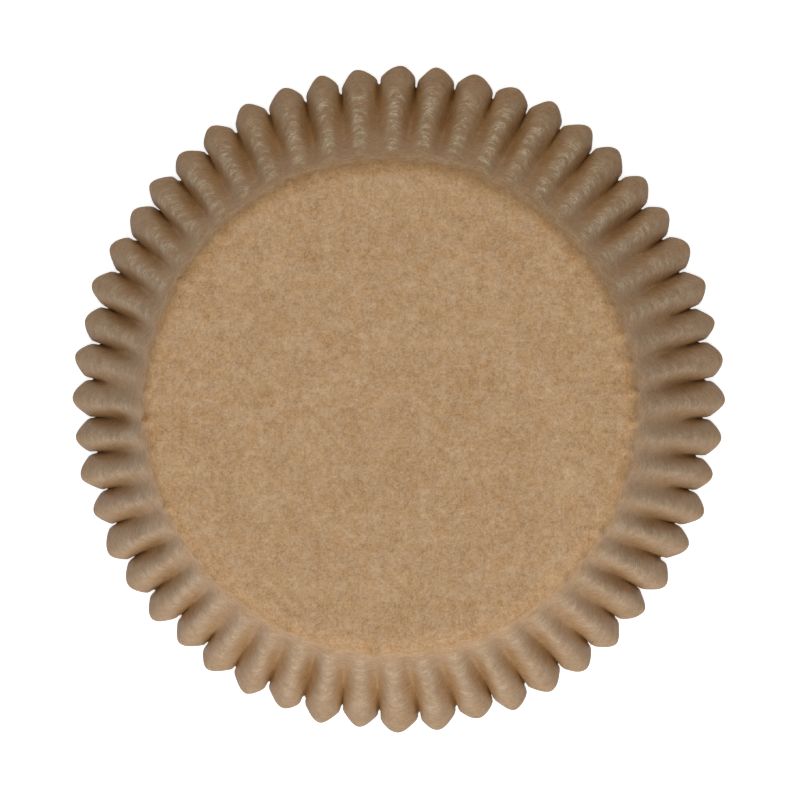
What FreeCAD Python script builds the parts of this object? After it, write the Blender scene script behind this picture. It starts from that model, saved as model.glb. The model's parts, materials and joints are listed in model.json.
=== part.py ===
"""Fluted paper cupcake liner, pressed from one round sheet of kraft greaseproof paper.

The liner is modelled upside down, as it lies when it is taken from its stack: it stands on its
fluted rim, and its flat base is on top. The origin is at the centre of the rim, on the surface
that it stands on, and +Z goes up through the base. All sizes are in millimetres.

Paper bends but does not stretch, so straight lines run down the whole wall. They make two kinds
of fan. A gore is one side of the round base wide at the shoulder, and narrows to the tip of a
crest at the rim. A pleat starts as a point, where two gores meet at the shoulder, and opens to
the rim as half a crest, a flank, the valley, a flank and half a crest.
"""

import FreeCAD
import Part
import math
import os

# Driving dimensions
FLUTES = 52
HEIGHT = 30.5
BASE_DIAMETER = 50.0
MOUTH_DIAMETER = 70.0
FLUTE_DEPTH = 2.42
CREST_RADIUS = 1.15
VALLEY_RADIUS = 0.15
SHOULDER_RADIUS = 2.0
PAPER = 0.08

# The round of a crest and of a valley is folded in this many flat strips on each side
CREST_STRIPS = 4
VALLEY_STRIPS = 2

# The reach of each line is its distance from the axis of the liner
HALF_PITCH = math.pi / FLUTES
BASE_REACH = BASE_DIAMETER / 2
CREST_REACH = MOUTH_DIAMETER / 2
VALLEY_REACH = CREST_REACH - FLUTE_DEPTH

# The cut edge is square to the paper, which leans out, so the crests end above the valleys
WALL_LEAN = math.atan(((CREST_REACH + VALLEY_REACH) / 2 - BASE_REACH) / HEIGHT)
CREST_LIFT = FLUTE_DEPTH * math.tan(WALL_LEAN)

# A gore lies in the plane from the edge of the base to the tip of its crest
GORE_LEAN = math.atan((CREST_REACH - BASE_REACH) / (HEIGHT - CREST_LIFT))
SHOULDER_TURN = math.pi / 2 - GORE_LEAN
FLAT_REACH = BASE_REACH - SHOULDER_RADIUS * math.tan(SHOULDER_TURN / 2)

# The largest gap that is closed when the faces of the paper are sewn together
SEWING_TOLERANCE = 1e-5

Z_AXIS = FreeCAD.Vector(0, 0, 1)
ORIGIN = FreeCAD.Vector(0, 0, 0)


def polar(reach, angle, z=0.0):
    """A point at this distance and angle from the axis of the liner."""
    return FreeCAD.Vector(reach * math.cos(angle), reach * math.sin(angle), z)


def turned(vector, axis, angle):
    """The vector turned about an axis through the origin."""
    return FreeCAD.Rotation(axis, math.degrees(angle)).multVec(vector)


def turn_about(axis, start, end):
    """The angle that turns one vector to the other about an axis, by the right-hand rule."""
    start = start - axis * (start * axis)
    end = end - axis * (end * axis)
    return math.atan2(axis * start.cross(end), start * end)


class Flute:
    """Half of one flute of one skin, from its crest at angle 0 to the valley beside it.

    inset is 0 for the outside of the paper, and the thickness of the paper for the inside.
    apex is the point at the shoulder where the pleat starts. edge lists the points of the rim
    from the tip of the crest to the bottom of the valley.
    """

    def __init__(self, inset):
        self.inset = inset
        self.gore_normal = FreeCAD.Vector(math.cos(GORE_LEAN), 0, math.sin(GORE_LEAN))
        fold = self.shoulder_point(SHOULDER_TURN)
        self.apex = FreeCAD.Vector(fold.x, fold.x * math.tan(HALF_PITCH), fold.z)
        self.tip = FreeCAD.Vector(CREST_REACH, 0, CREST_LIFT) - self.gore_normal * inset
        self.edge = self.rim_points()

    def shoulder_point(self, turn):
        """The point of the rolled shoulder where the paper has turned by this angle."""
        roll = SHOULDER_RADIUS - self.inset
        x = FLAT_REACH + roll * math.sin(turn)
        return FreeCAD.Vector(x, 0, HEIGHT - SHOULDER_RADIUS + roll * math.cos(turn))

    def valley_foot(self):
        """The bottom of the valley at the rim, and the outward normal of the paper there."""
        lean = math.atan((VALLEY_REACH - self.apex.dot(polar(1, HALF_PITCH))) / self.apex.z)
        normal = polar(math.cos(lean), HALF_PITCH, math.sin(lean))
        return polar(VALLEY_REACH, HALF_PITCH) + normal * (PAPER - self.inset), normal

    def rim_points(self):
        """The round of the crest, the straight flank and the round of the valley.

        Both rounds are narrow cones with their point at the apex, and the flank is the plane
        that touches both: one cone on its inner side, and the other on its outer side.
        """
        foot, foot_normal = self.valley_foot()
        crest_line = self.tip - self.apex
        valley_line = foot - self.apex
        crest_sine = (CREST_RADIUS - self.inset) / crest_line.Length
        valley_sine = (VALLEY_RADIUS + self.inset) / valley_line.Length
        crest_axis = crest_line / crest_line.Length - self.gore_normal * crest_sine
        valley_axis = valley_line / valley_line.Length + foot_normal * valley_sine
        crest_axis.normalize()
        valley_axis.normalize()

        flank = touching_normal(crest_axis, crest_sine, valley_axis, valley_sine)
        crest_end = (crest_axis + flank * crest_sine).normalize() * crest_line.Length
        valley_end = (valley_axis - flank * valley_sine).normalize() * valley_line.Length
        crest_turn = turn_about(crest_axis, crest_line, crest_end)
        valley_turn = turn_about(valley_axis, valley_end, valley_line)

        edge = []
        for strip in range(CREST_STRIPS + 1):
            edge.append(turned(crest_line, crest_axis, crest_turn * strip / CREST_STRIPS))
        for strip in range(VALLEY_STRIPS + 1):
            edge.append(turned(valley_end, valley_axis, valley_turn * strip / VALLEY_STRIPS))
        return [self.apex + ray for ray in edge]


def touching_normal(inner_axis, inner_sine, outer_axis, outer_sine):
    """The outward normal of the plane that touches two cones with one apex.

    The plane passes outside the inner cone and inside the outer one. The sines are those of the
    half angles of the cones.
    """
    cosine = inner_axis.dot(outer_axis)
    across = inner_axis.cross(outer_axis)
    inner_part = -(inner_sine + cosine * outer_sine) / (1 - cosine**2)
    outer_part = (outer_sine + cosine * inner_sine) / (1 - cosine**2)
    in_plane = inner_axis * inner_part + outer_axis * outer_part
    rest = math.sqrt(1 - in_plane.dot(in_plane)) / across.Length
    sides = [in_plane + across * rest, in_plane - across * rest]
    return max(sides, key=lambda normal: normal.x)


def triangle(a, b, c):
    """A flat face with three corners."""
    return Part.Face(Part.makePolygon([a, b, c, a]))


def both_sides(faces):
    """The faces of half a flute, and their mirror images across its crest."""
    return faces + [face.mirror(ORIGIN, FreeCAD.Vector(0, 1, 0)) for face in faces]


def shoulder_faces(flute):
    """The rolled edge between the flat base and one gore, mitred where the next one starts."""
    turns = (0, SHOULDER_TURN / 2, SHOULDER_TURN)
    roll = Part.Arc(*[flute.shoulder_point(turn) for turn in turns]).toShape()
    roll.translate(FreeCAD.Vector(0, -BASE_REACH, 0))
    strip = roll.extrude(FreeCAD.Vector(0, 2 * BASE_REACH, 0))
    slice_of_base = Part.makeCylinder(
        CREST_REACH, 2 * HEIGHT, ORIGIN, Z_AXIS, math.degrees(2 * HALF_PITCH)
    )
    slice_of_base.rotate(ORIGIN, Z_AXIS, -math.degrees(HALF_PITCH))
    return strip.common(slice_of_base).Faces


def skin_faces(flute):
    """One flute of one skin: its shoulder, its gore and half a pleat on each side."""
    across = FreeCAD.Vector(flute.apex.x, -flute.apex.y, flute.apex.z)
    gore = triangle(flute.apex, flute.tip, across)
    strips = [triangle(flute.apex, a, b) for a, b in zip(flute.edge, flute.edge[1:])]
    return shoulder_faces(flute) + [gore] + both_sides(strips)


def cut_edge_faces(outside, inside):
    """The edge of the paper at the rim of one flute, between its two skins."""
    faces = []
    for a, b, c, d in zip(outside.edge, outside.edge[1:], inside.edge, inside.edge[1:]):
        faces.append(Part.makeRuledSurface(Part.makeLine(a, b), Part.makeLine(c, d)))
    return both_sides(faces)


def base_face(inset):
    """The flat base of one skin, a polygon with one side for each flute."""
    corner_reach = FLAT_REACH / math.cos(HALF_PITCH)
    angles = [(2 * flute + 1) * HALF_PITCH for flute in range(FLUTES)]
    corners = [polar(corner_reach, angle, HEIGHT - inset) for angle in angles]
    return Part.Face(Part.makePolygon(corners + corners[:1]))


def liner():
    """The paper: its two skins, joined by the cut edge, with one flute copied round the axis."""
    outside = Flute(0.0)
    inside = Flute(PAPER)
    one_flute = skin_faces(outside) + skin_faces(inside) + cut_edge_faces(outside, inside)
    faces = [base_face(0.0), base_face(PAPER)]
    for flute in range(FLUTES):
        angle = math.degrees(2 * HALF_PITCH * flute)
        faces += [face.rotated(ORIGIN, Z_AXIS, angle) for face in one_flute]
    paper = Part.Compound(faces)
    paper.sewShape(SEWING_TOLERANCE)
    return Part.Solid(paper.Shells[0])


def blank_diameter(flute):
    """The diameter of the flat round sheet that this liner is pressed from."""
    gore_length = math.hypot(flute.tip.x - flute.apex.x, flute.tip.z - flute.apex.z)
    return 2 * (FLAT_REACH + SHOULDER_RADIUS * SHOULDER_TURN + gore_length)


def main():
    os.makedirs("parts", exist_ok=True)
    shape = liner()
    shape.exportStep("parts/liner.step")
    flute = Flute(0.0)
    steps = zip(flute.edge, flute.edge[1:])
    rim_path = 2 * FLUTES * sum((b - a).Length for a, b in steps)
    print("solids", len(shape.Solids), "valid", shape.isValid(), "faces", len(shape.Faces))
    print("volume_mm3", round(shape.Volume, 2), "area_mm2", round(shape.Area, 1))
    print("blank_diameter_mm", round(blank_diameter(flute), 2))
    print("rim_path_mm", round(rim_path, 1), "blank_edge_mm", round(math.pi * blank_diameter(flute), 1))


main()
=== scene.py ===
# %% [markdown]
# # A fluted cupcake liner of kraft greaseproof paper
#
# A liner starts as a flat round sheet of thin paper. A heated die presses it: the middle stays
# flat, and the rest folds up into a wall of 52 flutes, because a wall with a smaller mouth than
# the sheet has to take up the spare paper somewhere. Paper bends but hardly stretches, and that
# one fact gives the liner its look, so this script makes the liner in the same order: first the
# flat sheet, then the pressing, then the small faults of a real one, and last the surface.
#
# The liner lies upside down, as on the photograph: it stands on its rim, and we look down on the
# outside of its base.

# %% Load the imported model
import json
import math

import bpy
import numpy as np
from mathutils import Matrix, Vector, noise


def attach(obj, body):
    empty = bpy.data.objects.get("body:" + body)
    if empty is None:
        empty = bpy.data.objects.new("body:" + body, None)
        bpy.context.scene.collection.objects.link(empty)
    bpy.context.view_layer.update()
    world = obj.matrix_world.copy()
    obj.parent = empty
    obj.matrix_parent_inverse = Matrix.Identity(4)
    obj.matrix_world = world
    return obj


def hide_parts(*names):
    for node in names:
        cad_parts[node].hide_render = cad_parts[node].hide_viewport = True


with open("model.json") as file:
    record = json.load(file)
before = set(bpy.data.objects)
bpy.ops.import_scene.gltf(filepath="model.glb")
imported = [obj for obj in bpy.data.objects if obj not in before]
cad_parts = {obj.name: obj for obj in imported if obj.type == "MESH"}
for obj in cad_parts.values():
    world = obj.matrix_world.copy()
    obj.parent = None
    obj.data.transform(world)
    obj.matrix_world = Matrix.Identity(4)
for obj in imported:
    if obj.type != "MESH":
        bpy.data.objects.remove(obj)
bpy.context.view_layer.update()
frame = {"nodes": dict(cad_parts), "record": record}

bpy.ops.object.select_all(action="DESELECT")

# %% [markdown]
# ## The sizes of the pressed liner
#
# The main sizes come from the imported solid, so that this liner fits it. The tips of the crests
# are the points that reach out the farthest, and there is one for each flute.
# The lengths are in millimetres, because a paper part is easier to think of that way, and MM
# turns them into the metres of the scene. Only the card, the lamps and how near and how far the
# camera sees are given in metres. Two lengths that differ by less than NEAR count as the same.

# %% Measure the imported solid
MM = 0.001
NEAR = 0.002

liner_node = frame["nodes"]["liner"]
corners = np.array([vertex.co for vertex in liner_node.data.vertices]) / MM
corner_reach = np.hypot(corners[:, 0], corners[:, 1])

HEIGHT = corners[:, 2].max()
CREST_REACH = corner_reach.max()
crest_corners = corners[corner_reach > CREST_REACH - NEAR]
crest_directions = np.degrees(np.arctan2(crest_corners[:, 1], crest_corners[:, 0]))
CREST_LIFT = crest_corners[:, 2].mean()
FLUTES = len(set(np.round(crest_directions, 1)))
HALF_PITCH = math.pi / FLUTES
FLAT_REACH = corner_reach[corners[:, 2] > HEIGHT - NEAR].max() * math.cos(HALF_PITCH)
mount_heights = {mount["name"]: mount["pos_m"][2] for mount in frame["record"]["mounts"]}
PAPER = (mount_heights["base_outside"] - mount_heights["cake_floor"]) / MM

print("flutes", FLUTES, "height", round(HEIGHT, 2), "crest reach", round(CREST_REACH, 2))
print("crest lift", round(CREST_LIFT, 3), "flat base", round(FLAT_REACH, 2), "paper", round(PAPER, 3))

# %% [markdown]
# ## From the wall back to the flat sheet
#
# The shoulder is the rolled edge between the base and the wall. The line of a crest leaves the
# roll where it touches it, as a belt leaves a pulley. Adding up the flat base, the roll and the
# slant of the wall gives the radius of the sheet that went into the die.

# %% Work out the sheet
SHOULDER_RADIUS = 2.0

across = CREST_REACH - FLAT_REACH
down = HEIGHT - SHOULDER_RADIUS - CREST_LIFT
SHOULDER_TURN = math.atan2(down, across) + math.asin(SHOULDER_RADIUS / math.hypot(across, down))
FOLD_REACH = FLAT_REACH + SHOULDER_RADIUS * math.sin(SHOULDER_TURN)
FOLD_HEIGHT = HEIGHT - SHOULDER_RADIUS * (1 - math.cos(SHOULDER_TURN))
SHEET_FOLD = FLAT_REACH + SHOULDER_RADIUS * SHOULDER_TURN
SLANT = math.hypot(CREST_REACH - FOLD_REACH, FOLD_HEIGHT - CREST_LIFT)
SHEET_RADIUS = SHEET_FOLD + SLANT

print("sheet diameter", round(2 * SHEET_RADIUS, 2), "slant of the wall", round(SLANT, 2))

# %% [markdown]
# ## The camera
#
# The photograph was taken from almost straight above, from far away with a long lens. The base
# of the liner shows a little off the middle of the rim, and that gives the tilt of the camera:
# 2.5 degrees, towards the upper right. The lens makes the rim as large in the picture as it is
# on the photograph.

# %% Place the camera
IMAGE_SIZE = 800
SENSOR_WIDTH = 36.0
PIXELS_PER_MM = 9.394
CAMERA_DISTANCE = 909.0
CAMERA_TILT = math.radians(2.46)
TILT_TOWARDS = math.radians(45)
RIM_CENTRE_PIXEL = (398.5, 398.4)
NEAREST_SEEN = 0.1
FARTHEST_SEEN = 10

bpy.ops.object.camera_add()
camera = bpy.context.object
camera.name = "camera"
view_line = Vector((
    math.sin(CAMERA_TILT) * math.cos(TILT_TOWARDS),
    math.sin(CAMERA_TILT) * math.sin(TILT_TOWARDS),
    math.cos(CAMERA_TILT),
))
sideways = Vector((0, 1, 0)).cross(view_line).normalized()
upward = view_line.cross(sideways)
turn = Matrix((sideways, upward, view_line)).transposed()
camera.matrix_world = Matrix.Translation(view_line * CAMERA_DISTANCE * MM) @ turn.to_4x4()
camera.data.sensor_width = SENSOR_WIDTH
camera.data.lens = PIXELS_PER_MM * CAMERA_DISTANCE * SENSOR_WIDTH / IMAGE_SIZE
camera.data.shift_x = (IMAGE_SIZE / 2 - RIM_CENTRE_PIXEL[0]) / IMAGE_SIZE
camera.data.shift_y = (RIM_CENTRE_PIXEL[1] - IMAGE_SIZE / 2) / IMAGE_SIZE
camera.data.clip_start = NEAREST_SEEN
camera.data.clip_end = FARTHEST_SEEN
bpy.context.scene.camera = camera
print("lens", round(camera.data.lens, 1), "mm, camera at", tuple(round(v, 3) for v in camera.location))

# %% [markdown]
# ## The flat sheet
#
# The sheet could be cut from a grid, but its folds run outwards from the base, so a mesh of
# rings and spokes suits it: every fold then lies along a spoke. We add a small circle and extrude
# its edge outwards ring by ring, as a pond ripple grows. The rings lie close together where the
# paper will bend sharply, at the shoulder.

# %% Cut the sheet
SPOKES_PER_FLUTE = 18
HUB_RADIUS = 3.0
BASE_RINGS = 7
SHOULDER_RINGS = 8
WALL_RINGS = 31

base_rings = np.linspace(HUB_RADIUS, FLAT_REACH, BASE_RINGS + 1)
shoulder_rings = np.linspace(FLAT_REACH, SHEET_FOLD, SHOULDER_RINGS + 1)
wall_rings = np.linspace(SHEET_FOLD, SHEET_RADIUS, WALL_RINGS + 1)
ring_radii = [*base_rings, *shoulder_rings[1:], *wall_rings[1:]]

bpy.ops.mesh.primitive_circle_add(
    vertices=FLUTES * SPOKES_PER_FLUTE, radius=HUB_RADIUS * MM, fill_type="NOTHING"
)
liner = bpy.context.object
liner.name = "paper_liner"
bpy.ops.object.mode_set(mode="EDIT")
bpy.ops.mesh.select_all(action="SELECT")
for inner, outer in zip(ring_radii, ring_radii[1:]):
    bpy.ops.mesh.extrude_edges_move()
    bpy.ops.transform.resize(value=(outer / inner, outer / inner, 1))
bpy.ops.object.mode_set(mode="OBJECT")
print("sheet", len(liner.data.vertices), "points,", len(liner.data.polygons), "faces")

# %% [markdown]
# ## The middle of the sheet
#
# The circle that we started from is still a hole. One face closes it, and poke divides that face
# into triangles that meet in the centre, so the base is closed and has no many-sided face.

# %% Close the middle of the sheet
bpy.ops.object.mode_set(mode="EDIT")
bpy.ops.mesh.select_all(action="DESELECT")
bpy.ops.object.mode_set(mode="OBJECT")
for vertex in liner.data.vertices:
    vertex.select = vertex.co.length < (HUB_RADIUS + NEAR) * MM
bpy.ops.object.mode_set(mode="EDIT")
bpy.ops.mesh.select_mode(type="VERT")
bpy.ops.mesh.edge_face_add()
bpy.ops.mesh.poke()
bpy.ops.mesh.select_all(action="SELECT")
bpy.ops.mesh.normals_make_consistent(inside=False)
bpy.ops.object.mode_set(mode="OBJECT")
print("closed sheet", len(liner.data.vertices), "points,", len(liner.data.polygons), "faces")

# %% [markdown]
# ## Where each point of the sheet lies
#
# Every point keeps two numbers from the flat sheet: its distance from the centre and its angle.
# The press moves the point, but the paper still knows where it was, so the grain and the small
# crinkles can follow the paper. A UV map keeps that place for the material, as a picture of the
# whole flat sheet would. The spokes are slid closer to the lines of the crests and the folds
# here, while the sheet is still flat, because the paper bends most there.

# %% Slide the spokes and read the sheet
SPOKE_CROWDING = 0.25
UV_MIDDLE = 0.5

points = np.array([vertex.co for vertex in liner.data.vertices]) / MM
sheet_radius = np.hypot(points[:, 0], points[:, 1])
sheet_angle = np.arctan2(points[:, 1], points[:, 0]) % (2 * math.pi)
flute_turns = sheet_angle / (2 * HALF_PITCH)
sheet_angle = 2 * HALF_PITCH * (
    flute_turns - SPOKE_CROWDING * np.sin(4 * math.pi * flute_turns) / (4 * math.pi)
)

uv_map = liner.data.uv_layers.new(name="sheet")
flat_place = np.stack([sheet_radius * np.cos(sheet_angle), sheet_radius * np.sin(sheet_angle)], axis=1)
loop_points = np.zeros(len(liner.data.loops), dtype=int)
liner.data.loops.foreach_get("vertex_index", loop_points)
flat_uv = flat_place[loop_points] / (2 * SHEET_RADIUS) + UV_MIDDLE
uv_map.data.foreach_set("uv", flat_uv.astype(np.float32).ravel())
print("radius of the sheet", round(sheet_radius.max(), 2), "mm")
print("paper between two folds at the rim", round(2 * HALF_PITCH * SHEET_RADIUS, 2), "mm")

# %% [markdown]
# ## One flute at the rim
#
# Seen from above, the cut edge of a flute runs from the round tip of the crest down a straight
# flank to a small corner, and from there the two neighbours lie side by side in a narrow slit
# down to the valley. The shape is drawn in a unit square, from the tip at (0, 0) to the valley
# at (1, 1), with a few control points and a curve that rounds the corners between them.
#
# On a real liner no two flutes are the same. The paper has sprung back a little and has been
# handled, so the tips stand closer or farther apart and one flank is steeper than the other. Each
# pair of numbers below is a mean and a spread, and the values vary by chance with a fixed seed.

# %% The curve of half a flute
CREST_FLAT = (0.27, 0.035)
CORNER_ACROSS = (0.90, 0.025)
CORNER_DOWN = (0.56, 0.06)
SLIT_ACROSS = (0.95, 0.02)
SLIT_MIDDLE = 0.75
CURVE_STEPS = 12
MOST_SPREADS = 2
SEED = 52

chance = np.random.default_rng(SEED)


def vary(mean, spread, count):
    """Values about a mean, with none farther out than a few spreads."""
    return mean + spread * np.clip(chance.standard_normal(count), -MOST_SPREADS, MOST_SPREADS)


def rounded(control_points):
    """A smooth curve that starts and ends at the end points and cuts the corners between."""
    controls = np.array(control_points)
    middles = (controls[1:] + controls[:-1]) / 2
    knots = [controls[0], *middles[1:-1], controls[-1]]
    steps = np.linspace(0, 1, CURVE_STEPS, endpoint=False)[:, None]
    pieces = []
    for start, control, end in zip(knots, controls[1:-1], knots[1:]):
        pieces.append((1 - steps) ** 2 * start + 2 * steps * (1 - steps) * control + steps**2 * end)
    return np.concatenate([*pieces, controls[-1:]])


def half_flute_curve():
    """The unit curve of one flank, a little different each time."""
    crest_flat = vary(*CREST_FLAT, 1)[0]
    slit_across = vary(*SLIT_ACROSS, 1)[0]
    return rounded([
        (0, 0),
        (crest_flat, -crest_flat * math.tan(HALF_PITCH)),
        (vary(*CORNER_ACROSS, 1)[0], vary(*CORNER_DOWN, 1)[0]),
        (slit_across, SLIT_MIDDLE),
        (slit_across, 1),
        (1, 1),
    ])


print("the corner of a flank lies at", (CORNER_ACROSS[0], CORNER_DOWN[0]), "of its square")

# %% [markdown]
# ## The tips and the slits round the rim
#
# The rim of a pressed liner springs open to a slight oval. Each tip gets its own angle and
# reach, and its height follows, because the paper from the shoulder to the tip has one length.

# %% Place the tips and the slits
TIP_SPREAD = math.radians(0.30)
SLIT_SPREAD = math.radians(0.22)
REACH_SPREAD = 0.13
OVAL = 0.011
OVAL_AXIS = math.radians(78)

flute_numbers = np.arange(FLUTES)
fold_angles = (2 * flute_numbers + 1) * HALF_PITCH
tip_angles = 2 * flute_numbers * HALF_PITCH + vary(0, TIP_SPREAD, FLUTES)
slit_angles = fold_angles + vary(0, SLIT_SPREAD, FLUTES)


def oval(angle):
    """How much farther out than a circle the rim stands at this angle."""
    return 1 + OVAL * np.cos(2 * (angle - OVAL_AXIS))


def around(reach, angle, height):
    """The point at this distance and angle from the axis of the liner."""
    return np.stack([reach * np.cos(angle), reach * np.sin(angle), height + 0 * angle], axis=-1)


tip_reach = CREST_REACH * oval(tip_angles) + vary(0, REACH_SPREAD, FLUTES)
folds = around(FOLD_REACH, fold_angles, FOLD_HEIGHT)
tip_slant = math.hypot(SLANT, HALF_PITCH * SHEET_FOLD)
tip_drop = np.sqrt(tip_slant**2 - (tip_reach - FOLD_REACH) ** 2 - (HALF_PITCH * FOLD_REACH) ** 2)
tips = around(tip_reach, tip_angles, FOLD_HEIGHT - tip_drop)
print("tips stand", np.round(tips[:, 2].min(), 2), "to", np.round(tips[:, 2].max(), 2), "mm high")

# %% [markdown]
# ## How deep each flute is
#
# The paper between two folds always has the same length, so a narrow flute has to be deep, and a
# wide one is shallow. We know the shape of a flank but not where its valley lies. Halving an
# interval over and over finds the place where the two flanks are together exactly as long as
# their paper.

# %% Draw one flank
def foot_of(number, reach):
    """The lowest point of the fold between two flutes, as far down as its paper reaches."""
    drop = math.sqrt(SLANT**2 - (reach - FOLD_REACH) ** 2)
    return around(reach, slit_angles[number], max(FOLD_HEIGHT - drop, 0.0))


def flank(curve, tip, foot, number):
    """The points of one flank from its tip to the foot, with the shape of the curve."""
    sideways_line = around(1, slit_angles[number] + math.pi / 2, 0.0)
    across_part = np.dot(foot - tip, sideways_line) * sideways_line
    down_part = foot - tip - across_part
    return tip + curve[:, :1] * across_part + curve[:, 1:] * down_part


def length_of(line):
    """The length of a line of points."""
    return np.linalg.norm(np.diff(line, axis=0), axis=1).sum()


print("from tip to tip the first flute is", round(length_of(tips[:2]), 2), "mm wide")

# %% Fit each flute to its length of paper
LONGEST_FLUTE = 3.4
SHORTEST_FLUTE = 1.2
HALVINGS = 24

flanks = []
for number in range(FLUTES):
    curves = [half_flute_curve(), half_flute_curve()]
    ends = [tips[number], tips[(number + 1) % FLUTES]]
    outer_reach = CREST_REACH - SHORTEST_FLUTE
    inner_reach = CREST_REACH - LONGEST_FLUTE
    for _ in range(HALVINGS):
        middle = (outer_reach + inner_reach) / 2
        foot = foot_of(number, middle)
        both_flanks = [flank(curve, end, foot, number) for curve, end in zip(curves, ends)]
        if sum(length_of(line) for line in both_flanks) < 2 * HALF_PITCH * SHEET_RADIUS:
            outer_reach = middle
        else:
            inner_reach = middle
    flanks.append(both_flanks)

flute_depths = [CREST_REACH - math.hypot(*pair[0][-1][:2]) for pair in flanks]
print("flute depth", round(min(flute_depths), 2), "to", round(max(flute_depths), 2), "mm")

# %% [markdown]
# ## Pressing the sheet: first a ripple
#
# Near the shoulder the paper has little to spare, so it only ripples: along a ring it is a wave
# with round tops and furrows that are a little sharper. The tops lie on a plain cup, a rolled
# shoulder and a cone through the tips of the crests.
#
# How deep the furrows are isn't a matter of taste. Each ring of the sheet keeps its length, and
# the farther out it is, the more of it the cup is too small for, so the same halving finds the
# depth at which the wave is exactly as long as its paper. The furrows then get only a part of
# that depth, least near the shoulder, because small crinkles take up the rest of the paper there.

# %% Lay the sheet over a plain cup
flute_phase = sheet_angle / (2 * HALF_PITCH)
wall_share = np.clip((sheet_radius - SHEET_FOLD) / (SHEET_RADIUS - SHEET_FOLD), 0, 1)
roll_turn = np.clip((sheet_radius - FLAT_REACH) / SHOULDER_RADIUS, 0, SHOULDER_TURN)


def round_the_rim(at_tips, at_slits):
    """A smooth line through values at the tips and at the slits, all the way round the rim."""
    values = np.stack([at_tips, at_slits], axis=1).ravel()
    start = np.floor(2 * flute_phase).astype(int) % (2 * FLUTES)
    share = (1 - np.cos(math.pi * (2 * flute_phase % 1))) / 2
    return values[start] + share * (values[(start + 1) % (2 * FLUTES)] - values[start])


def between_tips(values):
    """The values at the slits, halfway between those at the tips."""
    return (values + np.roll(values, -1)) / 2


rim_reach = round_the_rim(tip_reach, between_tips(tip_reach))
rim_height = round_the_rim(tips[:, 2], between_tips(tips[:, 2]))
rim_shift = round_the_rim(tip_angles - 2 * HALF_PITCH * flute_numbers, slit_angles - fold_angles)

cup_reach = np.minimum(sheet_radius, FLAT_REACH) + SHOULDER_RADIUS * np.sin(roll_turn)
cup_reach += wall_share * (rim_reach - FOLD_REACH)
cup_height = HEIGHT - SHOULDER_RADIUS * (1 - np.cos(roll_turn))
cup_height += wall_share * (rim_height - FOLD_HEIGHT)
cup_angle = sheet_angle + wall_share * rim_shift
cup = around(cup_reach, cup_angle, cup_height)
cup_normal = around(np.sin(roll_turn), cup_angle, np.cos(roll_turn))
print("the cup is", round(cup_height.max() - cup_height.min(), 2), "mm deep")

# %% Find how deep a ripple is
RIPPLE_STEPS = 40
FURROW_SHARPNESS = 0.3
FURROW_POWER = 1.7


def furrow_section(phase):
    """How deep one ripple is, from 0 on a crest to 1 in a furrow that is a little sharp."""
    from_crest = 2 * np.abs(phase - np.round(phase))
    wave = (1 - np.cos(math.pi * from_crest)) / 2
    return wave + FURROW_SHARPNESS * (from_crest**FURROW_POWER - wave)


def ripple_length(pitch, depth):
    """The length along one ripple of this pitch and depth."""
    heights = depth * furrow_section(np.linspace(0, 1, RIPPLE_STEPS + 1))
    return np.hypot(np.diff(heights), pitch / RIPPLE_STEPS).sum()


def ripple_depth(ring_radius):
    """How deep the furrows are where this ring of the sheet ends up."""
    turn = min(max((ring_radius - FLAT_REACH) / SHOULDER_RADIUS, 0), SHOULDER_TURN)
    share = max((ring_radius - SHEET_FOLD) / (SHEET_RADIUS - SHEET_FOLD), 0)
    reach = min(ring_radius, FLAT_REACH) + SHOULDER_RADIUS * math.sin(turn)
    reach += share * (CREST_REACH - FOLD_REACH)
    shallow = 0.0
    deep = LONGEST_FLUTE
    for _ in range(HALVINGS):
        depth = (shallow + deep) / 2
        pitch = 2 * HALF_PITCH * (reach - depth * math.sin(turn) / 2)
        if ripple_length(pitch, depth) < 2 * HALF_PITCH * ring_radius:
            shallow = depth
        else:
            deep = depth
    return depth


ring_depths = [ripple_depth(radius) if radius > FLAT_REACH + NEAR else 0.0 for radius in ring_radii]
shown = {round(float(radius), 1): round(depth, 2) for radius, depth in zip(ring_radii, ring_depths)}
print("depth of the furrows at each ring of the sheet", shown)

# %% Ripple the wall
FURROW_SPREAD = 0.15
RIPPLE_AT_SHOULDER = 0.35
RIPPLE_ON_WALL = 0.84
RIPPLE_GROWS_TO = 0.45

furrow_depth = np.interp(sheet_radius, ring_radii, ring_depths)
furrow_share = round_the_rim(np.ones(FLUTES), vary(1, FURROW_SPREAD, FLUTES))
growth = np.clip(wall_share / RIPPLE_GROWS_TO, 0, 1)
ripple_share = RIPPLE_AT_SHOULDER + (RIPPLE_ON_WALL - RIPPLE_AT_SHOULDER) * growth
furrow = ripple_share * furrow_depth * furrow_share * furrow_section(flute_phase)
rippled = cup - cup_normal * furrow[:, None]
print("the deepest furrow is", round(furrow.max(), 2), "mm deep")

# %% [markdown]
# ## Pressing the sheet: then the folds
#
# Farther down, the wall is made of two kinds of fan. A gore is a flat triangle, wide at the
# shoulder, that narrows to the tip of a crest. A pleat is a cone of straight lines that spreads
# from one point at the shoulder to a whole fold at the rim. Together they take up the spare paper
# without any stretch, and each point of the sheet finds its place with simple geometry: in a
# pleat by the line that it lies on, and in a gore by its shares of the three corners.

# %% Sort the points into pleats and gores
fold_number = np.floor(sheet_angle / (2 * HALF_PITCH)).astype(int) % FLUTES
from_fold = sheet_angle - fold_angles[fold_number]
towards_next = (from_fold > 0).astype(int)
ahead = sheet_radius * np.cos(from_fold) - SHEET_FOLD
aside = sheet_radius * np.sin(np.abs(from_fold))
ray_angle = np.arctan2(aside, ahead)
TIP_ANGLE = math.atan2(
    SHEET_RADIUS * math.sin(HALF_PITCH), SHEET_RADIUS * math.cos(HALF_PITCH) - SHEET_FOLD
)

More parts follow.
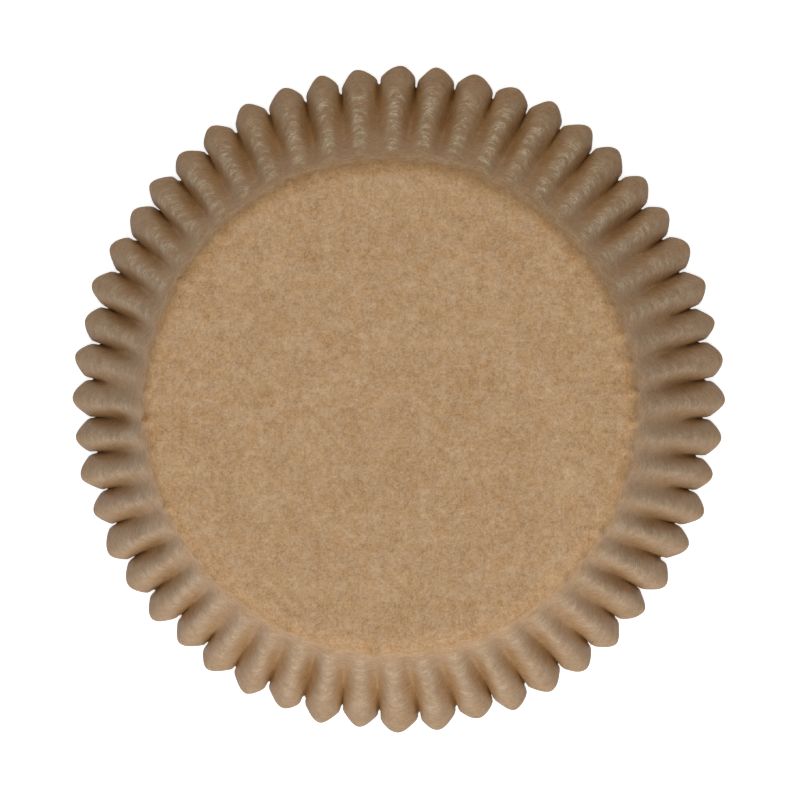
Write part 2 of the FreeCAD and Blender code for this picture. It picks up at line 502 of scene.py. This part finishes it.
on_wall = sheet_radius > SHEET_FOLD + NEAR
in_pleat = on_wall & (ray_angle <= TIP_ANGLE)
in_gore = on_wall & ~in_pleat
print("points in pleats", in_pleat.sum(), "in gores", in_gore.sum())

# %% Fold the pleats
LINE_STEPS = 60


def even_steps(line):
    """The same line with its points at even steps, from the foot to the tip."""
    line = line[::-1]
    distance = np.concatenate([[0], np.cumsum(np.linalg.norm(np.diff(line, axis=0), axis=1))])
    wanted = np.linspace(0, distance[-1], LINE_STEPS + 1)
    return np.stack([np.interp(wanted, distance, line[:, axis]) for axis in range(3)], axis=1)


edge_lines = np.array([[even_steps(line) for line in pair] for pair in flanks])

folded = rippled.copy()
line_place = ray_angle[in_pleat] / TIP_ANGLE * LINE_STEPS
step = np.minimum(line_place.astype(int), LINE_STEPS - 1)
past_step = (line_place - step)[:, None]
rim_lines = edge_lines[fold_number[in_pleat], towards_next[in_pleat]]
rows = np.arange(len(step))
rim_points = rim_lines[rows, step] * (1 - past_step) + rim_lines[rows, step + 1] * past_step
full_ray = np.sqrt(SHEET_RADIUS**2 - (SHEET_FOLD * np.sin(ray_angle[in_pleat])) ** 2)
full_ray -= SHEET_FOLD * np.cos(ray_angle[in_pleat])
ray_share = (np.hypot(ahead, aside)[in_pleat] / full_ray)[:, None]
fold_points = folds[fold_number[in_pleat]]
folded[in_pleat] = fold_points + ray_share * (rim_points - fold_points)
print("the longest line of a pleat is", round(full_ray.max(), 2), "mm")

# %% Lay down the gores
gore_number = (fold_number[in_gore] + towards_next[in_gore]) % FLUTES
from_crest = (sheet_angle[in_gore] / (2 * HALF_PITCH) + 0.5) % 1 - 0.5
from_crest *= 2 * HALF_PITCH
gore_top = SHEET_FOLD * math.cos(HALF_PITCH)
tip_share = (sheet_radius[in_gore] * np.cos(from_crest) - gore_top) / (SHEET_RADIUS - gore_top)
lean = sheet_radius[in_gore] * np.sin(from_crest) / (SHEET_FOLD * math.sin(HALF_PITCH))
right_share = (1 - tip_share + lean)[:, None] / 2
left_share = (1 - tip_share - lean)[:, None] / 2
folded[in_gore] = (
    tip_share[:, None] * tips[gore_number]
    + right_share * folds[gore_number]
    + left_share * folds[gore_number - 1]
)
print("a gore is", round(2 * SHEET_FOLD * math.sin(HALF_PITCH), 2), "mm wide at the shoulder")

# %% [markdown]
# ## The ripple turns into folds
#
# Neither form is right for the whole wall, so each point moves from its place in the ripple to
# its place in the folds, the farther down the wall the more. The change starts and ends softly.

# %% Let the ripple turn into folds
FOLDS_START = 0.45

fold_share = np.clip((wall_share - FOLDS_START) / (1 - FOLDS_START), 0, 1)
fold_share = fold_share**2 * (3 - 2 * fold_share)
pressed = rippled + fold_share[:, None] * (folded - rippled)
print("points that only ripple", (fold_share == 0).sum(), "fully folded", (fold_share == 1).sum())

# %% [markdown]
# ## Rounding the folds
#
# The formula folds the paper sharply where the fans meet. Real paper has some stiffness, so near
# the shoulder, where the folds begin, it only bends, and the folds grow sharp on their way to the
# rim. A Smooth modifier would also pull the rings together, so the rounding is done here along
# each ring alone: every point moves a little towards the middle of its two neighbours, many
# times over.

# %% Round the folds
SOFT_AT_SHOULDER = 0.25
SOFT_AT_RIM = 0.05
SOFT_FALL = 2.2
ROUNDING_TURNS = 60
STRONGEST_PULL = 0.5

spokes = FLUTES * SPOKES_PER_FLUTE
ring_number = np.searchsorted(np.array(ring_radii), sheet_radius - NEAR)
in_rings = np.flatnonzero(sheet_radius > NEAR)
by_ring = in_rings[np.lexsort((sheet_angle[in_rings], ring_number[in_rings]))]
net = pressed[by_ring].reshape(len(ring_radii), spokes, 3)

ring_share = np.clip((np.array(ring_radii) - SHEET_FOLD) / (SHEET_RADIUS - SHEET_FOLD), 0, 1)
soft_mm = SOFT_AT_RIM + (SOFT_AT_SHOULDER - SOFT_AT_RIM) * (1 - ring_share**SOFT_FALL)
spoke_mm = 2 * math.pi * np.array(ring_radii) / spokes
pull = np.minimum((soft_mm / spoke_mm) ** 2 / ROUNDING_TURNS, STRONGEST_PULL)[:, None, None]
for _ in range(ROUNDING_TURNS):
    net += pull * ((np.roll(net, 1, axis=1) + np.roll(net, -1, axis=1)) / 2 - net)
rounded_points = pressed.copy()
rounded_points[by_ring] = net.reshape(-1, 3)
liner.data.vertices.foreach_set("co", (rounded_points * MM).astype(np.float32).ravel())
liner.data.update()
print("lowest point after rounding", round(rounded_points[:, 2].min(), 3))

# %% [markdown]
# ## The faults of a real one
#
# The edge of the base isn't a clean circle on the photograph: it is uneven where the folds begin.
# This script makes it uneven with low bulges, more at some folds than at others, and where the
# real paper is notched instead, it differs. The wall is also never quite even: it has soft waves
# a few millimetres wide, and the base isn't perfectly flat. All of these are small pushes along
# the normal. The normals of the sheet still point to its inner side here, so a push below zero
# moves the paper outwards.

# %% Push out the bulges and add the waves
BULGE_HEIGHT = 0.26
BULGE_SPREAD = 0.18
BULGE_WIDTH = 0.55
BULGE_LENGTH = 1.3
BULGE_PLACE = -0.5
WAVE_SIZE = 5.0
WAVE_DEPTH = 0.10
BASE_WAVE_SIZE = 16.0
BASE_WAVE_DEPTH = 0.08

normals = np.array([vertex.normal for vertex in liner.data.vertices])
bulge_height = np.maximum(vary(BULGE_HEIGHT, BULGE_SPREAD, FLUTES), 0)
widths_aside = aside / BULGE_WIDTH
lengths_along = (ahead - BULGE_PLACE) / BULGE_LENGTH
bulges = bulge_height[fold_number] * np.exp(-widths_aside**2 - lengths_along**2)

waves = np.array([noise.noise(Vector(point) / WAVE_SIZE) for point in rounded_points])
base_waves = np.array([noise.noise(Vector(point) / BASE_WAVE_SIZE) for point in rounded_points])
wall_part = np.clip((sheet_radius - FLAT_REACH) / (SHEET_FOLD - FLAT_REACH), 0, 1)
push = wall_part * WAVE_DEPTH * waves + (1 - wall_part) * BASE_WAVE_DEPTH * base_waves - bulges

final_points = rounded_points + normals * push[:, None]
final_points[:, 2] -= np.minimum(final_points[:, 2].min(), 0)
liner.data.vertices.foreach_set("co", (final_points * MM).astype(np.float32).ravel())
liner.data.update()
print("bulges", round(bulge_height.min(), 2), "to", round(bulge_height.max(), 2), "mm high")

# %% [markdown]
# ## The thickness of the paper
#
# The sheet so far has no thickness. The normals are turned to the outer side first, and Solidify
# then adds the inner side, 0.08 mm behind the outer one, and closes the cut edge. Before that,
# each point notes how near it is to the line of a crest, from 0 in a furrow to 1 on the crest,
# because the crinkles, the painted shade in the furrows and the painted sheen on the crests follow
# it. The note grows from 0 at the shoulder, where the crests begin, and it is made before Solidify
# runs, so that the inner side gets it too.

# %% Give the paper its thickness
CREST_GROWS_OVER = 4.0
SMOOTH_UP_TO = math.radians(50)

bpy.ops.object.mode_set(mode="EDIT")
bpy.ops.mesh.select_all(action="SELECT")
bpy.ops.mesh.normals_make_consistent(inside=False)
bpy.ops.object.mode_set(mode="OBJECT")

crest_note = (1 + np.cos(sheet_angle * FLUTES)) / 2
crest_note *= np.clip((sheet_radius - SHEET_FOLD) / CREST_GROWS_OVER, 0, 1)
crest_attribute = liner.data.attributes.new("crest", "FLOAT", "POINT")
crest_attribute.data.foreach_set("value", crest_note.astype(np.float32))

thick = liner.modifiers.new("paper", "SOLIDIFY")
thick.thickness = PAPER * MM
thick.offset = -1
thick.use_even_offset = False
bpy.ops.object.modifier_apply(modifier="paper")
bpy.ops.object.shade_smooth_by_angle(angle=SMOOTH_UP_TO)
triangles = sum(len(face.vertices) - 2 for face in liner.data.polygons)
print("triangles", triangles)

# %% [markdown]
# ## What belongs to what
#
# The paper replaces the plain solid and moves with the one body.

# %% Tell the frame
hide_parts("liner")
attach(liner, "root")
print(liner.name, "replaces the node liner and rides on the body root")

# %% [markdown]
# ## Kraft greaseproof paper
#
# Unbleached kraft pulp is brown, and beating and calendering it makes it dense and smooth. Close
# up it is mottled, because the fibres lie in clouds, some darker and some paler, and the brown
# swings between a greyer and a more orange one.
#
# The colour could be painted on an image, but noise on the flat sheet follows the paper through
# all its folds and has no seam. A fibre is about 0.03 mm thick. That is too fine to show here,
# where a millimetre is nine pixels, so the finest grain is drawn as coarse as it needs to show,
# and three coarser patterns are added to it.
#
# The IOR is about that of cellulose, and the roughness that of a satin surface. The photograph
# shows next to no shine on the base, so the level of the gloss is far down.

# %% Helpers for materials
def linear(hex_colour):
    """An sRGB hex colour as the linear colour that a shader wants."""
    values = [int(hex_colour[place:place + 2], 16) / 255 for place in (0, 2, 4)]
    return [v / 12.92 if v <= 0.04045 else ((v + 0.055) / 1.055) ** 2.4 for v in values] + [1.0]


def add_node(tree, kind, settings=None, inputs=None, links=None):
    """Adds a node, sets its settings and input values, and links its inputs to outputs."""
    node = tree.nodes.new(kind)
    for name, value in (settings or {}).items():
        setattr(node, name, value)
    for name, value in (inputs or {}).items():
        node.inputs[name].default_value = value
    for name, output in (links or {}).items():
        tree.links.new(output, node.inputs[name])
    return node


print("middle grey in linear light", round(linear("808080")[0], 3))

# %% Start the paper
SATIN_ROUGHNESS = 0.42
CELLULOSE_IOR = 1.5
GLOSS_LEVEL = 0.015

paper = bpy.data.materials.new("kraft greaseproof paper, calendered and die pressed")
paper.use_nodes = True
tree = paper.node_tree
shader = tree.nodes["Principled BSDF"]
shader.inputs["Roughness"].default_value = SATIN_ROUGHNESS
shader.inputs["IOR"].default_value = CELLULOSE_IOR
shader.inputs["Specular IOR Level"].default_value = GLOSS_LEVEL

sheet_uv = add_node(tree, "ShaderNodeUVMap", {"uv_map": "sheet"})
centred = add_node(tree, "ShaderNodeVectorMath", {"operation": "SUBTRACT"},
                   {1: (UV_MIDDLE, UV_MIDDLE, 0)}, {0: sheet_uv.outputs["UV"]})
on_sheet = add_node(tree, "ShaderNodeVectorMath", {"operation": "SCALE"},
                    {"Scale": 2 * SHEET_RADIUS}, {0: centred.outputs["Vector"]})
print("the UV map is", round(2 * SHEET_RADIUS, 1), "mm across")

# %% The colour of the paper
DARK_PULP = "8F6C49"
PALE_PULP = "C0A384"
GRAIN_SIZE = 0.22
FIBRE_SIZE = 0.45
CLOUD_SIZE = 1.0
TONE_SIZE = 5.0
PATTERNS = ((GRAIN_SIZE, 0.56), (FIBRE_SIZE, 0.4), (CLOUD_SIZE, 0.4), (TONE_SIZE, 0.25))
PATTERN_DETAIL = 2.0
PATTERN_SPREAD = 0.22
FINE_SHARE = 0.6
PLACE_PER_SIZE = 10


def sheet_noise(size, detail):
    """Noise on the flat sheet, with patches of this size in millimetres.

    Noises of two sizes from one place would make a star about the centre of the sheet, so each
    size is cut from another place in the fourth dimension.
    """
    return add_node(tree, "ShaderNodeTexNoise", {"noise_dimensions": "4D"},
                    {"Scale": 1 / size, "Detail": detail, "Roughness": FINE_SHARE,
                     "W": PLACE_PER_SIZE * size},
                    {"Vector": on_sheet.outputs["Vector"]})


terms = [
    add_node(tree, "ShaderNodeMath", {"operation": "MULTIPLY"}, {1: weight},
             {0: sheet_noise(size, PATTERN_DETAIL).outputs["Fac"]})
    for size, weight in PATTERNS
]
total = terms[0]
for term in terms[1:]:
    total = add_node(tree, "ShaderNodeMath", {"operation": "ADD"}, {},
                     {0: total.outputs["Value"], 1: term.outputs["Value"]})
mean_total = sum(weight for size, weight in PATTERNS) / 2
mottle = add_node(tree, "ShaderNodeMapRange", {},
                  {"From Min": mean_total - PATTERN_SPREAD, "From Max": mean_total + PATTERN_SPREAD},
                  {"Value": total.outputs["Value"]})
mottled = add_node(tree, "ShaderNodeMix", {"data_type": "RGBA"},
                   {"A": linear(DARK_PULP), "B": linear(PALE_PULP)},
                   {"Factor": mottle.outputs["Result"]})
print("patterns", len(PATTERNS), "with a mean of", round(mean_total, 3))

# %% The orange swing
HUE_SIZE = 1.5
HUE_DETAIL = 4.0
ORANGE_STARTS = 0.45
ORANGE_FULL = 0.62
ORANGE_FILTER = (1.0, 0.94, 0.84, 1.0)

hue = add_node(tree, "ShaderNodeMapRange", {}, {"From Min": ORANGE_STARTS, "From Max": ORANGE_FULL},
               {"Value": sheet_noise(HUE_SIZE, HUE_DETAIL).outputs["Fac"]})
pulp = add_node(tree, "ShaderNodeMix", {"data_type": "RGBA", "blend_type": "MULTIPLY"},
                {"B": ORANGE_FILTER},
                {"Factor": hue.outputs["Result"], "A": mottled.outputs["Result"]})
print("orange patches of about", HUE_SIZE, "mm")

# %% [markdown]
# ## Crinkles across the crests
#
# The die pushes the paper down the wall, and on a crest, where nothing holds it, the paper
# crinkles. The light catches the edges of the crinkles as short whitish lines. Lines this fine
# would need millions of faces, so they are bump, and their whitish lines are painted highlights in
# the colour, partly worn fibre.
#
# They need the distance from the centre of the sheet and the direction from it. The direction is
# kept as a point on a circle, because an angle would jump from 360 degrees to 0 and leave a seam.
# The pattern repeats faster down the wall than across it, so its lines lie across the crests.
# They run where the noise passes its middle value, as a contour line runs on a map.

# %% The lines of the crinkles
CRINKLE_SIZE = 0.7
CRINKLE_WIDTH = 1.1
CRINKLE_DETAIL = 3.0
LINE_WIDTH = 0.05
PATCH_WEAR_AND_SHEEN = 0.15
NOISE_MIDDLE = 0.5
MIDDLE_RADIUS = (SHEET_FOLD + SHEET_RADIUS) / 2

from_centre = add_node(tree, "ShaderNodeVectorMath", {"operation": "LENGTH"}, {},
                       {0: on_sheet.outputs["Vector"]})
direction = add_node(tree, "ShaderNodeVectorMath", {"operation": "NORMALIZE"}, {},
                     {0: on_sheet.outputs["Vector"]})
round_circle = add_node(tree, "ShaderNodeVectorMath", {"operation": "SCALE"},
                        {"Scale": MIDDLE_RADIUS / CRINKLE_WIDTH}, {0: direction.outputs["Vector"]})
outwards = add_node(tree, "ShaderNodeMath", {"operation": "DIVIDE"}, {1: CRINKLE_SIZE},
                    {0: from_centre.outputs["Value"]})
upright = add_node(tree, "ShaderNodeCombineXYZ", {}, {}, {"Z": outwards.outputs["Value"]})
crinkle_place = add_node(tree, "ShaderNodeVectorMath", {"operation": "ADD"}, {},
                         {0: round_circle.outputs["Vector"], 1: upright.outputs["Vector"]})
crinkle_noise = add_node(tree, "ShaderNodeTexNoise", {"noise_dimensions": "3D"},
                         {"Scale": 1.0, "Detail": CRINKLE_DETAIL, "Roughness": FINE_SHARE},
                         {"Vector": crinkle_place.outputs["Vector"]})
off_middle = add_node(tree, "ShaderNodeMath", {"operation": "SUBTRACT"}, {1: NOISE_MIDDLE},
                      {0: crinkle_noise.outputs["Fac"]})
off_line = add_node(tree, "ShaderNodeMath", {"operation": "ABSOLUTE"}, {},
                    {0: off_middle.outputs["Value"]})
# The lines take the full share of the crinkles, bump and painted highlight alike; the paper between them
# keeps a little, as wear and painted sheen.
line_share = add_node(tree, "ShaderNodeMapRange", {},
                      {"From Max": LINE_WIDTH, "To Min": 1.0, "To Max": PATCH_WEAR_AND_SHEEN},
                      {"Value": off_line.outputs["Value"]})
print("crinkles", CRINKLE_SIZE, "mm apart down the wall and", CRINKLE_WIDTH, "mm across it")

# %% [markdown]
# ## Where the crinkles and their painted highlights lie
#
# The crinkles come in patches. They lie on the crests and on a band below the shoulder, and stop
# before the rim. They and their painted highlights are strongest on the far side of the liner,
# where the light makes them show most, and weaker on the near side. Each of these conditions is a
# value from 0 to 1, and the values are multiplied.

# %% The crests and the band at the shoulder
CREST_TOP_STARTS = 0.45
SHOULDER_BAND = 6.0
SHOULDER_CRINKLES = 0.5

crest = add_node(tree, "ShaderNodeAttribute", {"attribute_name": "crest"})
on_crest = add_node(tree, "ShaderNodeMapRange", {}, {"From Min": CREST_TOP_STARTS, "From Max": 1.0},
                    {"Value": crest.outputs["Fac"]})
by_shoulder = add_node(tree, "ShaderNodeMapRange", {},
                       {"From Min": SHEET_FOLD, "From Max": SHEET_FOLD + SHOULDER_BAND,
                        "To Min": SHOULDER_CRINKLES, "To Max": 0.0},
                       {"Value": from_centre.outputs["Value"]})
free_paper = add_node(tree, "ShaderNodeMath", {"operation": "MAXIMUM"}, {},
                      {0: on_crest.outputs["Result"], 1: by_shoulder.outputs["Result"]})
print("the band at the shoulder is", SHOULDER_BAND, "mm wide")

# %% The patches, the far side, the rim and the base
PATCH_SIZE = 2.2
PATCH_STARTS = 0.42
PATCH_FULL = 0.58
# Painted highlights: the far side gets the strongest crinkles and highlights, for the light there; the
# near side gets less.
FAR_SIDE_STARTS = 0.2
FAR_SIDE_FULL = 0.8
NEAR_SIDE_HIGHLIGHTS = 0.32
PLAIN_AT_RIM = 4.0
FULL_OFF_RIM = 9.0
PLAIN_AT_FOLD = -0.5
FULL_OFF_FOLD = 1.5

patches = add_node(tree, "ShaderNodeMapRange", {}, {"From Min": PATCH_STARTS, "From Max": PATCH_FULL},
                   {"Value": sheet_noise(PATCH_SIZE, PATTERN_DETAIL).outputs["Fac"]})
compass = add_node(tree, "ShaderNodeSeparateXYZ", {}, {}, {0: direction.outputs["Vector"]})
far_side = add_node(tree, "ShaderNodeMapRange", {},
                    {"From Min": FAR_SIDE_STARTS, "From Max": FAR_SIDE_FULL,
                     "To Min": NEAR_SIDE_HIGHLIGHTS, "To Max": 1.0},
                    {"Value": compass.outputs["Y"]})
off_rim = add_node(tree, "ShaderNodeMapRange", {},
                   {"From Min": SHEET_RADIUS - PLAIN_AT_RIM, "From Max": SHEET_RADIUS - FULL_OFF_RIM},
                   {"Value": from_centre.outputs["Value"]})
off_shoulder = add_node(tree, "ShaderNodeMapRange", {},
                        {"From Min": SHEET_FOLD + PLAIN_AT_FOLD, "From Max": SHEET_FOLD + FULL_OFF_FOLD},
                        {"Value": from_centre.outputs["Value"]})
crinkles_and_highlights = patches.outputs["Result"]
for condition in (far_side, off_rim, off_shoulder, free_paper, line_share):
    crinkles_and_highlights = add_node(tree, "ShaderNodeMath", {"operation": "MULTIPLY"}, {},
                        {0: crinkles_and_highlights, 1: condition.outputs[0]}).outputs["Value"]
print("the crinkles stop", PLAIN_AT_RIM, "mm before the rim")

# %% The bumps
CRINKLE_DEPTH = 0.04
GRAIN_DEPTH = 0.04

grain_bump = add_node(tree, "ShaderNodeBump", {}, {"Strength": 1.0, "Distance": GRAIN_DEPTH * MM},
                      {"Height": mottle.outputs["Result"]})
crinkle_bump = add_node(tree, "ShaderNodeBump", {},
                        {"Strength": 1.0, "Distance": CRINKLE_DEPTH * MM},
                        {"Height": crinkles_and_highlights, "Normal": grain_bump.outputs["Normal"]})
tree.links.new(crinkle_bump.outputs["Normal"], shader.inputs["Normal"])
print("bumps of", GRAIN_DEPTH, "and", CRINKLE_DEPTH, "mm")

# %% [markdown]
# ## Painted shade in the furrows, painted sheen at the shoulder, and the worn lines
#
# Light that reaches a furrow has already bounced off brown paper, so furrows look warmer than
# crests. The render bounces light as well, but on the photograph the furrows are warmer still,
# the more so the nearer they are to the rim, so the furrows get a painted shade, darker and warmer.
# The band just below the shoulder gets a painted sheen: it is made a little paler. The colour of
# the pulp is multiplied by a filter for each. On the crinkles and the crests a whitish colour is
# mixed in: partly worn fibre, which looks whiter, and partly painted highlights and sheen.

# %% The painted shade in the furrows
# Painted shade: the furrows are made darker and warmer, more so down the wall, in place of light bounced
# between the flutes.
FURROW_SHADE_FILTER = (0.94, 0.83, 0.64, 1.0)
SHADE_ON_CREST = 0.18
SHADE_AT_SHOULDER = 0.3
SHADE_STARTS = 2.0
SHADE_FULL = 14.0

off_crest = add_node(tree, "ShaderNodeMapRange", {}, {"To Min": 1.0, "To Max": SHADE_ON_CREST},
                     {"Value": crest.outputs["Fac"]})
off_base = add_node(tree, "ShaderNodeMapRange", {},
                    {"From Min": FLAT_REACH, "From Max": SHEET_FOLD},
                    {"Value": from_centre.outputs["Value"]})
down_wall = add_node(tree, "ShaderNodeMapRange", {},
                     {"From Min": SHEET_FOLD + SHADE_STARTS, "From Max": SHEET_FOLD + SHADE_FULL,
                      "To Min": SHADE_AT_SHOULDER, "To Max": 1.0},
                     {"Value": from_centre.outputs["Value"]})
wall_shade = add_node(tree, "ShaderNodeMath", {"operation": "MULTIPLY"}, {},
                     {0: down_wall.outputs["Result"], 1: off_base.outputs["Result"]})
painted_furrow_shade = add_node(tree, "ShaderNodeMath", {"operation": "MULTIPLY"}, {},
                       {0: off_crest.outputs["Result"], 1: wall_shade.outputs["Value"]})
shaded_pulp = add_node(tree, "ShaderNodeMix", {"data_type": "RGBA", "blend_type": "MULTIPLY"},
                     {"B": FURROW_SHADE_FILTER},
                     {"Factor": painted_furrow_shade.outputs["Value"], "A": pulp.outputs["Result"]})
print("the furrows are fully warm", SHADE_FULL, "mm down the wall")

# %% The painted sheen at the shoulder, and the worn lines with painted highlights
# Painted sheen: the band just below the shoulder is made paler.
SHOULDER_SHEEN_FILTER = (1.17, 1.13, 1.05, 1.0)
SHEEN_FULL = 0.5
SHEEN_ENDS = 5.0
# This whitish colour is partly worn fibre and partly painted highlights on the crinkles and painted
# sheen on the crests.
WORN_FIBRE_AND_HIGHLIGHT = "EEDFC6"
CREST_SHEEN = 0.03

at_shoulder = add_node(tree, "ShaderNodeMapRange", {},
                       {"From Min": SHEET_FOLD + SHEEN_ENDS, "From Max": SHEET_FOLD + SHEEN_FULL},
                       {"Value": from_centre.outputs["Value"]})
painted_shoulder_sheen = add_node(tree, "ShaderNodeMath", {"operation": "MULTIPLY"}, {},
                    {0: at_shoulder.outputs["Result"], 1: off_base.outputs["Result"]})
pulp_with_sheen = add_node(tree, "ShaderNodeMix", {"data_type": "RGBA", "blend_type": "MULTIPLY"},
                     {"B": SHOULDER_SHEEN_FILTER},
                     {"Factor": painted_shoulder_sheen.outputs["Value"], "A": shaded_pulp.outputs["Result"]})
wear_and_highlights = add_node(tree, "ShaderNodeMath", {"operation": "MULTIPLY_ADD"}, {1: CREST_SHEEN},
                {0: crest.outputs["Fac"], 2: crinkles_and_highlights})
paper_colour = add_node(tree, "ShaderNodeMix", {"data_type": "RGBA"}, {"B": linear(WORN_FIBRE_AND_HIGHLIGHT)},
                        {"Factor": wear_and_highlights.outputs["Value"], "A": pulp_with_sheen.outputs["Result"]})
tree.links.new(paper_colour.outputs["Result"], shader.inputs["Base Color"])
liner.data.materials.clear()
liner.data.materials.append(paper)
print("the paper has", len(tree.nodes), "nodes")

# %% [markdown]
# ## The white surface
#
# The liner lies on white card that fills the picture. Lighting the card to pure white would also
# put more light on the liner, so the card is pale grey, and it glows only for rays that show
# what they hit: from the camera, in a gloss or through glass. The card keeps the liner's shadow.

# %% Lay down the card
CARD_SIZE = 6
CARD_COLOUR = "D8D8D8"
CARD_ROUGHNESS = 0.9
CARD_GLOW = 0.72


def seen_rays(tree):
    """The output that is 1 for a ray that shows what it hits, and 0 for one that lights it."""
    light_path = add_node(tree, "ShaderNodeLightPath")
    seen = light_path.outputs["Is Camera Ray"]
    for kind_of_ray in ("Is Glossy Ray", "Is Transmission Ray"):
        seen = add_node(tree, "ShaderNodeMath", {"operation": "MAXIMUM"}, {},
                        {0: seen, 1: light_path.outputs[kind_of_ray]}).outputs["Value"]
    return seen


bpy.ops.mesh.primitive_plane_add(size=CARD_SIZE, location=(0, 0, 0))
floor = bpy.context.object
floor.name = "floor"
white = bpy.data.materials.new("matt white card")
white.use_nodes = True
card_tree = white.node_tree
card = card_tree.nodes["Principled BSDF"]
card.inputs["Base Color"].default_value = linear(CARD_COLOUR)
card.inputs["Roughness"].default_value = CARD_ROUGHNESS
card.inputs["Specular IOR Level"].default_value = 0.0
glow = add_node(card_tree, "ShaderNodeEmission", {}, {"Color": (1, 1, 1, 1), "Strength": CARD_GLOW})
glowing_card = add_node(card_tree, "ShaderNodeAddShader", {}, {},
                        {0: card.outputs["BSDF"], 1: glow.outputs["Emission"]})
chosen = add_node(card_tree, "ShaderNodeMixShader", {}, {},
                  {0: seen_rays(card_tree), 1: card.outputs["BSDF"], 2: glowing_card.outputs["Shader"]})
card_tree.links.new(chosen.outputs["Shader"], card_tree.nodes["Material Output"].inputs["Surface"])
floor.data.materials.append(white)
print("the card is", CARD_SIZE, "m wide")

# %% [markdown]
# ## The light
#
# Three large soft lamps light the liner: one on the near side of the picture, one almost overhead
# and a weaker, warmer one on the far side. Their strengths and tints were matched to how bright
# the base and the sides of the wall are on the photograph. The room gives next to no light, and
# looks white.

# %% The room
ROOM_LIGHT = 0.01

world = bpy.data.worlds.new("soft white room")
bpy.context.scene.world = world
world.use_nodes = True
room_tree = world.node_tree
background = room_tree.nodes["Background"]
background.inputs["Color"].default_value = (1, 1, 1, 1)
strength = add_node(room_tree, "ShaderNodeMapRange", {}, {"To Min": ROOM_LIGHT, "To Max": 1.0},
                    {"Value": seen_rays(room_tree)})
room_tree.links.new(strength.outputs["Result"], background.inputs["Strength"])
bpy.context.scene.view_settings.view_transform = "Standard"
print("light from the room", ROOM_LIGHT)

# %% The lamps
LAMP_SIZE = 0.9
LAMP_DISTANCE = 0.8
NEAR_SIDE = 0
FAR_SIDE = math.pi
LOW_LAMP = math.radians(42)
HIGH_LAMP = math.radians(80)
NEAR_WATTS = 4.3
NEAR_TINT = (0.95, 0.98, 1.0)
TOP_WATTS = 4.9
TOP_TINT = (0.94, 0.97, 1.0)
FAR_WATTS = 1.8
FAR_TINT = (1.0, 0.88, 0.60)


def soft_lamp(name, side, height_angle, watts, tint):
    """A round soft lamp that looks at the liner. Side 0 is the near edge of the picture."""
    bpy.ops.object.light_add(type="AREA")
    lamp = bpy.context.object
    lamp.name = name
    lamp.data.shape = "DISK"
    lamp.data.size = LAMP_SIZE
    lamp.data.energy = watts
    lamp.data.color = tint
    towards_lamp = Vector((
        math.sin(side) * math.cos(height_angle),
        -math.cos(side) * math.cos(height_angle),
        math.sin(height_angle),
    ))
    lamp.location = towards_lamp * LAMP_DISTANCE
    lamp.rotation_mode = "QUATERNION"
    lamp.rotation_quaternion = towards_lamp.to_track_quat("Z", "Y")
    print(name, watts, "W at", tuple(round(v, 2) for v in lamp.location))


soft_lamp("near_lamp", NEAR_SIDE, LOW_LAMP, NEAR_WATTS, NEAR_TINT)
soft_lamp("top_lamp", NEAR_SIDE, HIGH_LAMP, TOP_WATTS, TOP_TINT)
soft_lamp("far_lamp", FAR_SIDE, LOW_LAMP, FAR_WATTS, FAR_TINT)
